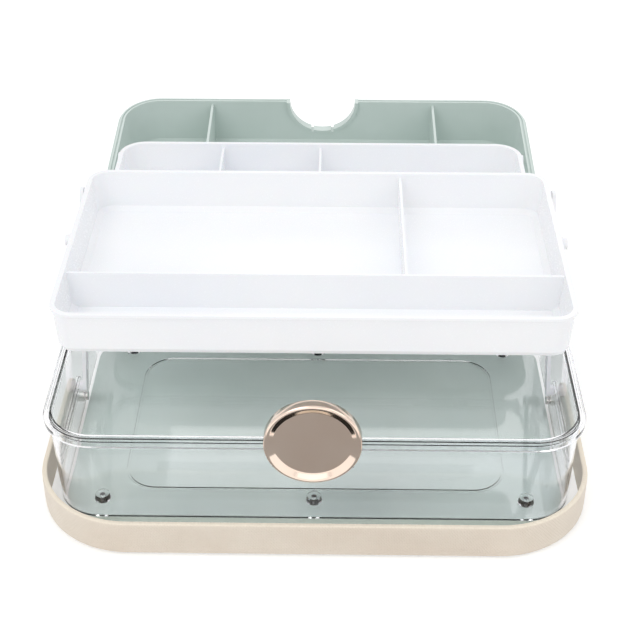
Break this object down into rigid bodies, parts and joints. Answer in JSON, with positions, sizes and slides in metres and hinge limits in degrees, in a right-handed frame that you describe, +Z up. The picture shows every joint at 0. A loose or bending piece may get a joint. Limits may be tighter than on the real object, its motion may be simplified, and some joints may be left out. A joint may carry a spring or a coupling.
{
  "type": "make-up storage case",
  "caption": "Clear make-up storage case with a hinged lid, trays that lift as the lid opens, a carrying strap and a round front latch.",
  "frame": {"origin": "middle of the underside, where the closed case's outline is centred", "axes": "+X to the user's right, +Y from the latch to the hinge, +Z up"},
  "size_m": [0.337, 0.4237, 0.1545],
  "materials": {
    "clear_plastic": "clear, polished",
    "sage_plastic": "satin gloss",
    "white_plastic": "satin gloss",
    "dark_steel": "dark",
    "bright_steel": "polished",
    "strap_leather": "smooth",
    "latch_metal": "polished warm metal",
    "latch_plastic": "satin"
  },
  "bodies": {
    "case": {"clear_tub": "clear_plastic", "base_plate": "sage_plastic", "base_screws": "dark_steel", "hinge_pins": "bright_steel", "lift_pins": "bright_steel", "strap_rivets": "bright_steel", "latch_pin": "bright_steel", "link_bracket_left": "clear_plastic", "link_bracket_right": "clear_plastic"},
    "lid": {"lid_shell": "sage_plastic"},
    "lift_arms": {"lift_arm_left": "white_plastic", "lift_arm_right": "white_plastic", "scissor_centre_pins": "bright_steel"},
    "cross_arms": {"cross_arm_left": "white_plastic", "cross_arm_right": "white_plastic"},
    "front_tray_body": {"front_tray": "white_plastic", "front_tray_pins": "bright_steel"},
    "links": {"link_left": "white_plastic", "link_right": "white_plastic"},
    "rear_tray_body": {"rear_tray": "white_plastic", "rear_tray_pins": "bright_steel"},
    "strap": {"carry_strap": "strap_leather"},
    "latch": {"latch_disc": "latch_metal", "latch_body": "latch_plastic"}
  },
  "joints": [
    {"name": "lid_hinge", "type": "hinge", "parent": "case", "child": "lid", "pos_m": [0, 0.1031, 0.0722], "axis": [1, 0, 0], "range_deg": [0, 174]},
    {"name": "lift_turn", "type": "hinge", "parent": "case", "child": "lift_arms", "pos_m": [0, 0.0565, 0.035], "axis": [1, 0, 0], "range_deg": [0, 59.3]},
    {"name": "scissor_turn", "type": "hinge", "parent": "lift_arms", "child": "cross_arms", "pos_m": [0, 0.02835, 0.09024], "axis": [1, 0, 0], "range_deg": [-118.6, 0]},
    {"name": "front_tray_turn", "type": "hinge", "parent": "cross_arms", "child": "front_tray_body", "pos_m": [0, 0.0565, 0.14548], "axis": [1, 0, 0], "range_deg": [0, 59.3]},
    {"name": "link_turn", "type": "hinge", "parent": "case", "child": "links", "pos_m": [0, 0.065, 0.0722], "axis": [1, 0, 0], "range_deg": [0, 174]},
    {"name": "rear_tray_turn", "type": "hinge", "parent": "links", "child": "rear_tray_body", "pos_m": [0, 0.12252, 0.08924], "axis": [1, 0, 0], "range_deg": [-174, 0]},
    {"name": "strap_swing", "type": "hinge", "parent": "case", "child": "strap", "pos_m": [0, 0.0175, 0.0135], "axis": [1, 0, 0], "range_deg": [-10, 0]},
    {"name": "latch_rock", "type": "hinge", "parent": "case", "child": "latch", "pos_m": [0, -0.1019, 0.06], "axis": [1, 0, 0], "range_deg": [0, 10], "stiffness_Nm_per_rad": 0.3}
  ],
  "couplings": [
    {"joint": "lift_turn", "follows": "lid_hinge", "ratio": 0.34081},
    {"joint": "scissor_turn", "follows": "lid_hinge", "ratio": -0.68162},
    {"joint": "front_tray_turn", "follows": "lid_hinge", "ratio": 0.34081},
    {"joint": "link_turn", "follows": "lid_hinge", "ratio": 1},
    {"joint": "rear_tray_turn", "follows": "lid_hinge", "ratio": -1}
  ]
}
